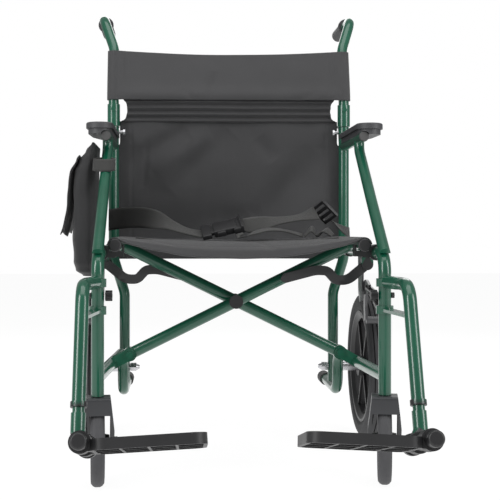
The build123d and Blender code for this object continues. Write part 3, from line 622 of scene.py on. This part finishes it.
# start across and up, end across and up, width, depth
PANEL_CREASES = (
    (-0.21, 0.60, -0.09, 0.665, 0.020, 0.009), (-0.17, 0.57, -0.04, 0.66, 0.022, -0.006),
    (-0.13, 0.53, 0.0, 0.665, 0.024, 0.008), (0.20, 0.62, 0.06, 0.47, 0.030, 0.012),
    (0.22, 0.53, 0.12, 0.45, 0.022, -0.007), (-0.185, 0.545, -0.175, 0.645, 0.006, 0.0035),
    (0.06, 0.65, 0.10, 0.60, 0.018, 0.006), (-0.03, 0.47, 0.07, 0.48, 0.020, 0.007),
)


def panel_place(u, v):
    t = u * 2 - 1
    hang = 1 - t**4
    z = panel_foot + (panel_top - panel_foot) * v
    x = t * (panel_half - NECK_IN * (0.5 + 0.5 * math.tanh((z - neck_z) / 0.003)))
    y = panel_face + PANEL_SLACK * hang * (1 - 0.5 * v)
    y += (bumpiness(x, 0, z, 5, 21) * 0.010 + bumpiness(x, 0, z, 15, 4) * 0.0030) * hang
    for *ends_and_width, deep in PANEL_CREASES:
        y += deep * crease(x, z, *ends_and_width) * hang
    return (x, y + 0.0014 * ridge(abs(x) - PANEL_SEAM, 0.0016), z)


panel = cloth_grid("back_panel_cloth", 150, 100, panel_place, BACK_THICK, "upholstery")
print("panel from", round(panel_foot, 3), "to", round(panel_top, 3))

# %% Hang the back on its bodies
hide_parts("back_band")
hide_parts("back_panel")
for piece, body in ((band, "cane_left"), (tucks, "cane_left"), (panel, "frame_left")):
    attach(piece, body)
    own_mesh(piece)

# %% [markdown]
# ## Lap belt
# Two lengths of 45 mm webbing from the back corners of the seat, joined by a side-squeeze buckle a little
# left of the middle. The left one stands on its edge and arcs over. The right one carries the buckle's other
# half, the loose tail and a ladder adjuster. A curve with a tilt at each point could carry a strap. A ribbon
# that is told which way its width faces at each station is easier to lay as the photograph shows it, and a
# depth chosen for each station puts it on the seat.

# %% Belt straps
# The pixel straight ahead of the camera, and the size of a pixel at the front posts, in metres.
AHEAD_PIXEL_X, AHEAD_PIXEL_Y = 178, 231
PIXEL_SIZE = 0.00172
BELT_WIDTH, TAIL_WIDTH, HOOK_WIDTH = 0.045, 0.0405, 0.024
BELT_THICK = 0.0018


def seen(pixel_x, pixel_y, depth):
    """The place that the photograph shows at a pixel, at that many metres behind the front posts."""
    size = (1 + depth / CAMERA_AHEAD) * PIXEL_SIZE
    x = CAMERA_X + (pixel_x - AHEAD_PIXEL_X) * size
    return Vector((x, front_y + depth, CAMERA_Z - (pixel_y - AHEAD_PIXEL_Y) * size))


# Every station is a pixel across and down, a depth, and the direction of the strap's width.
LEFT_STATIONS = [
    (109, 220, 0.40, (0, 0.1, 1)), (124, 218, 0.385, (0, 0.15, 1)), (140, 217.5, 0.35, (0.1, 0.3, 1)),
    (155, 219.5, 0.31, (0.25, 0.6, 0.9)), (170, 225, 0.27, (0.3, 1, 0.45)), (186, 231, 0.235, (0.2, 1, 0.25)),
    (203, 234.5, 0.215, (0.1, 1, 0.3)),
]
RIGHT_STATIONS = [
    (241, 226, 0.215, (-0.25, 0.9, 0.5)), (250, 225.5, 0.22, (-0.3, 0.8, 0.7)),
    (262, 223.5, 0.235, (-0.1, 0.8, 0.6)), (280, 220.5, 0.26, (0, 1, 0.35)), (300, 217.5, 0.29, (0, 1, 0.3)),
    (317, 213, 0.32, (-0.2, 0.8, 0.6)),
]
TAIL_STATIONS = [
    (243, 231, 0.20, (0, 1, 0.3)), (237, 236, 0.18, (0, 1, 0.2)), (244, 237, 0.165, (0, 1, -0.05)),
    (256, 232.5, 0.17, (0, 1, 0.12)), (270, 229.5, 0.18, (0.1, 1, 0.14)), (286, 231, 0.20, (0.1, 1, 0.1)),
    (303, 235.5, 0.215, (0.1, 1, 0.15)),
]
CRUMPLE_STATIONS = [
    (305, 236, 0.215, (0.1, 1, 0.1)), (312, 229, 0.22, (0.2, 1, 0.3)), (317, 236, 0.225, (0.2, 1, -0.1)),
    (325, 230, 0.24, (0.4, 1, 0.2)), (333, 235.5, 0.26, (0.3, 1, 0.1)),
]
HOOK_STATIONS = [
    (331, 220, 0.345, (-0.3, 0.6, 0.3)), (338, 226, 0.36, (-0.2, 0.7, 0.5)), (346, 231, 0.38, (0, 0.6, 0.8)),
    (350, 233, 0.40, (0, 0.3, 1)),
]
STRAPS = {
    "belt_left": (LEFT_STATIONS, BELT_WIDTH),
    "belt_right": (RIGHT_STATIONS, BELT_WIDTH),
    "belt_tail": (TAIL_STATIONS, TAIL_WIDTH),
    "belt_crumple": (CRUMPLE_STATIONS, TAIL_WIDTH),
    "belt_hook_strap": (HOOK_STATIONS, HOOK_WIDTH),
}
belt_pieces = []
for name, (stations, width) in STRAPS.items():
    centre = [seen(*station[:3]) for station in stations]
    strap = ribbon(name, centre, [station[3] for station in stations], width, BELT_THICK, "webbing")
    line = smooth_line(centre)
    length = sum((b - a).length for a, b in zip(line, line[1:]))
    belt_pieces.append(strap)
    print(name, "is", round(length, 3), "long")

# %% Buckle
BUCKLE_LEFT, BUCKLE_RIGHT = (203, 233, 0.212), (243, 224, 0.212)
BUCKLE_UP = Vector((0.05, -0.45, 1))
BLOCK_EDGE = 40  # degrees
# name, share of the buckle's length, size, lift
BUCKLE_PARTS = [
    ("buckle_tongue_base", 0.08, (0.018, 0.050, 0.009), 0.0),
    ("buckle_tongue_neck", 0.24, (0.020, 0.030, 0.007), 0.0),
    ("buckle_body", 0.55, (0.046, 0.040, 0.013), 0.0),
    ("buckle_wings", 0.44, (0.016, 0.050, 0.010), 0.0),
    ("buckle_bar", 0.86, (0.018, 0.050, 0.011), 0.0),
    ("buckle_bar_lip", 0.95, (0.006, 0.052, 0.016), 0.001),
]


def block(name, size, place, towards, up, slot, rounding=0.0018):
    """A rounded plate: the first number of its size runs along `towards`, and the last along `up`."""
    work = bmesh.new()
    bmesh.ops.create_cube(work, size=1.0)
    bmesh.ops.scale(work, vec=size, verts=work.verts)
    bmesh.ops.bevel(work, geom=work.edges, offset=rounding, segments=3, affect="EDGES", profile=0.5)
    mesh = bpy.data.meshes.new(name)
    work.to_mesh(mesh)
    work.free()
    x_axis = Vector(towards).normalized()
    z_axis = (Vector(up) - x_axis * Vector(up).dot(x_axis)).normalized()
    turn = Matrix((x_axis, z_axis.cross(x_axis), z_axis)).transposed().to_4x4()
    mesh.transform(Matrix.Translation(Vector(place)) @ turn)
    piece = add_piece(name, mesh, slot)
    mesh.set_sharp_from_angle(angle=math.radians(BLOCK_EDGE))
    return piece


buckle_start = seen(*BUCKLE_LEFT)
buckle_way = seen(*BUCKLE_RIGHT) - buckle_start
for name, share, size, lift in BUCKLE_PARTS:
    place = buckle_start + buckle_way * share + BUCKLE_UP.normalized() * lift
    belt_pieces.append(block(name, size, place, buckle_way, BUCKLE_UP, "black_plastic"))
print("buckle is", round(buckle_way.length, 3), "long")

# %% Ladder adjuster
LADDER_LEFT, LADDER_MIDDLE, LADDER_RIGHT = (315, 202, 0.335), (325, 212, 0.335), (336, 223, 0.335)
LADDER_UP = Vector((0, 0.35, 1))
LADDER_WIDTH, RUNG_PITCH = 0.048, 0.0125
LADDER_ROUNDING = 0.0015
# name, steps across, steps along, size
LADDER_PARTS = [
    ("ladder_side_a", -0.5, 0, (0.044, 0.006, 0.007)), ("ladder_side_b", 0.5, 0, (0.044, 0.006, 0.007)),
    ("ladder_rung_a", 0, -1.5, (0.006, 0.050, 0.006)), ("ladder_rung_b", 0, -0.5, (0.007, 0.050, 0.008)),
    ("ladder_rung_c", 0, 0.5, (0.007, 0.050, 0.006)), ("ladder_rung_d", 0, 1.5, (0.006, 0.050, 0.006)),
]
ladder_way = seen(*LADDER_RIGHT) - seen(*LADDER_LEFT)
rung_way = ladder_way.cross(LADDER_UP).normalized()
for name, sideways, ahead, size in LADDER_PARTS:
    place = seen(*LADDER_MIDDLE) + rung_way * LADDER_WIDTH * sideways
    place += ladder_way.normalized() * ahead * RUNG_PITCH
    belt_pieces.append(block(name, size, place, ladder_way, LADDER_UP, "black_plastic", LADDER_ROUNDING))
print(len(LADDER_PARTS), "pieces in the ladder")

# %% Slots in the seat, and the belt's transforms baked into its meshes
SLOT_SIZE = (0.034, 0.020, 0.004)
SLOT_PIXELS_X, SLOT_PIXEL_Y, SLOT_DEPTH = (145, 330), 236.5, 0.144
SLOT_TILT = 0.13
slot_z = rail_z + 0.0098
for n, (pixel_x, sign) in enumerate(zip(SLOT_PIXELS_X, (-1, 1))):
    place = seen(pixel_x, SLOT_PIXEL_Y, SLOT_DEPTH)
    place.z = slot_z
    slot_way = Vector((1, 0, SLOT_TILT * sign))
    belt_pieces.append(block(f"seat_slot_{n}", SLOT_SIZE, place, slot_way, (0, 0, 1), "webbing"))

for piece in belt_pieces:
    if piece.name == "belt_left":
        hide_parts("seat_belt")
    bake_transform(piece)
print(len(belt_pieces), "belt pieces")

# %% [markdown]
# ## Side bag
# A limp nylon pouch that hangs outside the left armrest. It is lofted down its height from rounded sections
# that thin towards the top and foot, with the sagging folds of an empty bag, and a flap over its mouth. Its
# outline is most of what shows, and a loft holds that to the photograph better than a simulation would.

# %% Bag shell
BAG_FOOT = 0.356
BAG_RINGS, BAG_TURNS = 70, 80
bag_low, bag_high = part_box("side_bag")
bag_out, bag_in = bag_low.x, bag_high.x
bag_front, bag_back = bag_low.y, bag_high.y
bag_height = bag_high.z - BAG_FOOT
# height share, outer reach share, inner reach share, front and back share
BAG_SECTIONS = [
    (0.0, 0.62, 0.05, 0.25, 0.84), (0.05, 0.9, 0.04, 0.10, 0.92), (0.12, 1.0, 0.03, 0.04, 0.97),
    (0.3, 1.0, 0.02, 0.0, 1.0), (0.5, 0.97, 0.02, 0.0, 1.0), (0.68, 0.95, 0.02, 0.01, 0.99),
    (0.78, 0.92, 0.02, 0.02, 0.98), (0.87, 0.72, 0.02, 0.03, 0.96), (0.94, 0.42, 0.0, 0.05, 0.94),
    (1.0, 0.14, 0.0, 0.08, 0.92),
]


def bag_section(share):
    """The section at a share of the height, eased between the two rows next to it."""
    for low, high in zip(BAG_SECTIONS, BAG_SECTIONS[1:]):
        if share <= high[0]:
            t = (share - low[0]) / (high[0] - low[0])
            t = t * t * (3 - 2 * t)
            return [a + (b - a) * t for a, b in zip(low, high)]
    return list(BAG_SECTIONS[-1])


def bag_fold(y, z):
    return bumpiness(0, y, z, 13, 31) * 0.006 + bumpiness(0, y, z, 34, 17) * 0.002


def bag_point(turn, share):
    _, outer, inner, front, back = bag_section(share)
    mid_y = bag_front + (bag_back - bag_front) * (front + back) / 2
    half_y = (bag_back - bag_front) * (back - front) / 2
    outer_x = bag_in + (bag_out - bag_in) * outer
    inner_x = bag_in + (bag_out - bag_in) * inner
    c, s = math.cos(turn), math.sin(turn)
    x = (outer_x + inner_x) / 2 + (outer_x - inner_x) / 2 * math.copysign(abs(c) ** 0.6, c)
    y = mid_y + half_y * math.copysign(abs(s) ** 0.45, s)
    z = BAG_FOOT + bag_height * share
    x += bag_fold(y, z) * (1 if c > 0 else 0.2) * math.sin(math.pi * min(1, share + 0.08))
    return Vector((min(x, bag_in - 0.001), y, z + bumpiness(x, y, 0, 12, 5) * 0.004 * (1 - share)))


verts = [bag_point(2 * math.pi * i / BAG_TURNS, j / BAG_RINGS)
         for j in range(BAG_RINGS + 1) for i in range(BAG_TURNS)]
faces = []
for low_ring in range(0, BAG_RINGS * BAG_TURNS, BAG_TURNS):
    high_ring = low_ring + BAG_TURNS
    for i in range(BAG_TURNS):
        after = (i + 1) % BAG_TURNS
        faces.append((low_ring + i, low_ring + after, high_ring + after, high_ring + i))
faces += [tuple(range(BAG_TURNS))[::-1], tuple(BAG_RINGS * BAG_TURNS + i for i in range(BAG_TURNS))]
bag = shell_piece("side_bag_shell", verts, faces, "bag_cloth")
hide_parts("side_bag")
print("bag is", round(bag_height, 3), "high")

# %% Bag flap and strap
FLAP_THICK = 0.002
FLAP_TOP, FLAP_DROP = 0.90, 0.58
FLAP_MARGIN = 0.02
FLAP_GAP, FLAP_FLARE = 0.003, 0.016
STRAP_WIDTH, STRAP_MIDDLE_Z = 0.024, 0.573
STRAP_REACH, STRAP_OUTER = 0.0185, 1.25
STRAP_HALF_DEPTH, ARM_POST_SLOPE = 0.0165, 0.55
strap_y = front_y + 0.204


def flap_place(u, v):
    share = FLAP_TOP - FLAP_DROP * v
    outer = bag_section(share)[1]
    y = bag_front + (bag_back - bag_front) * (FLAP_MARGIN + (1 - 2 * FLAP_MARGIN) * u)
    z = BAG_FOOT + bag_height * share
    x = bag_in + (bag_out - bag_in) * outer - FLAP_GAP - FLAP_FLARE * v**3 + bag_fold(y, z) * 0.8
    return (x, y, z + 0.004 * math.sin(u * 9) * v)


def strap_place(u, v):
    turn = 2 * math.pi * v
    reach = STRAP_REACH * (STRAP_OUTER if math.cos(turn) < 0 else 1)
    z = STRAP_MIDDLE_Z + STRAP_WIDTH * (u - 0.5) + 0.003 * math.sin(turn)
    y = strap_y + STRAP_HALF_DEPTH * math.sin(turn) - ARM_POST_SLOPE * (STRAP_MIDDLE_Z - z)
    return (-post_x - 0.001 + reach * math.cos(turn), y, z)


flap = cloth_grid("side_bag_flap", 60, 40, flap_place, FLAP_THICK, "bag_cloth")
strap = cloth_grid("side_bag_strap", 6, 40, strap_place, FLAP_THICK, "webbing")
for piece in (bag, flap, strap):
    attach(piece, "frame_left")
print("flap has", len(flap.data.polygons), "faces, strap", len(strap.data.polygons))

# %% [markdown]
# ## Floor and backdrop
# The photograph has no floor, only white. A floor that mostly glows and a world that the camera sees as
# white give that, and a weak contact shadow is left. More light would do it too, but the dark cloth would
# turn pale, so the chair itself is lit and mirrored by a dim grey room.

# %% Floor
FLOOR_HALF = 9
FLOOR_GLOW, GLOW_SHARE = 1.08, 0.86
WHITE = (1, 1, 1, 1)
corners = [(x * FLOOR_HALF, y * FLOOR_HALF, 0) for x, y in ((-1, -1), (1, -1), (1, 1), (-1, 1))]
floor_mesh = bpy.data.meshes.new("floor")
floor_mesh.from_pydata(corners, [], [(0, 1, 2, 3)])
floor = bpy.data.objects.new("floor", floor_mesh)
scene.collection.objects.link(floor)
pale = Finish("pale_floor", (0.9, 0.9, 0.9), 0.8)
glow = pale.add("ShaderNodeEmission", {}, {"Color": WHITE, "Strength": FLOOR_GLOW})
matt = Wire(pale, pale.shader.outputs[0])
blended = pale.add("ShaderNodeMixShader", {}, {0: GLOW_SHARE, 1: matt, 2: glow})
pale.feed(pale.tree.nodes["Material Output"].inputs["Surface"], blended)
floor_mesh.materials.append(pale.material)

# %% World
ROOM_LIGHT, BACKDROP_LIGHT = 0.30, 1.0
world = bpy.data.worlds.new("studio")
scene.world = world
world.use_nodes = True
room = Wiring(world.node_tree)
camera_ray = room.add("ShaderNodeLightPath", output="Is Camera Ray")
dim = room.add("ShaderNodeBackground", {}, {"Color": WHITE, "Strength": ROOM_LIGHT})
bright = room.add("ShaderNodeBackground", {}, {"Color": WHITE, "Strength": BACKDROP_LIGHT})
chosen = room.add("ShaderNodeMixShader", {}, {0: camera_ray, 1: dim, 2: bright})
room.feed(room.tree.nodes["World Output"].inputs["Surface"], chosen)
print("room light", ROOM_LIGHT, "and backdrop", BACKDROP_LIGHT)
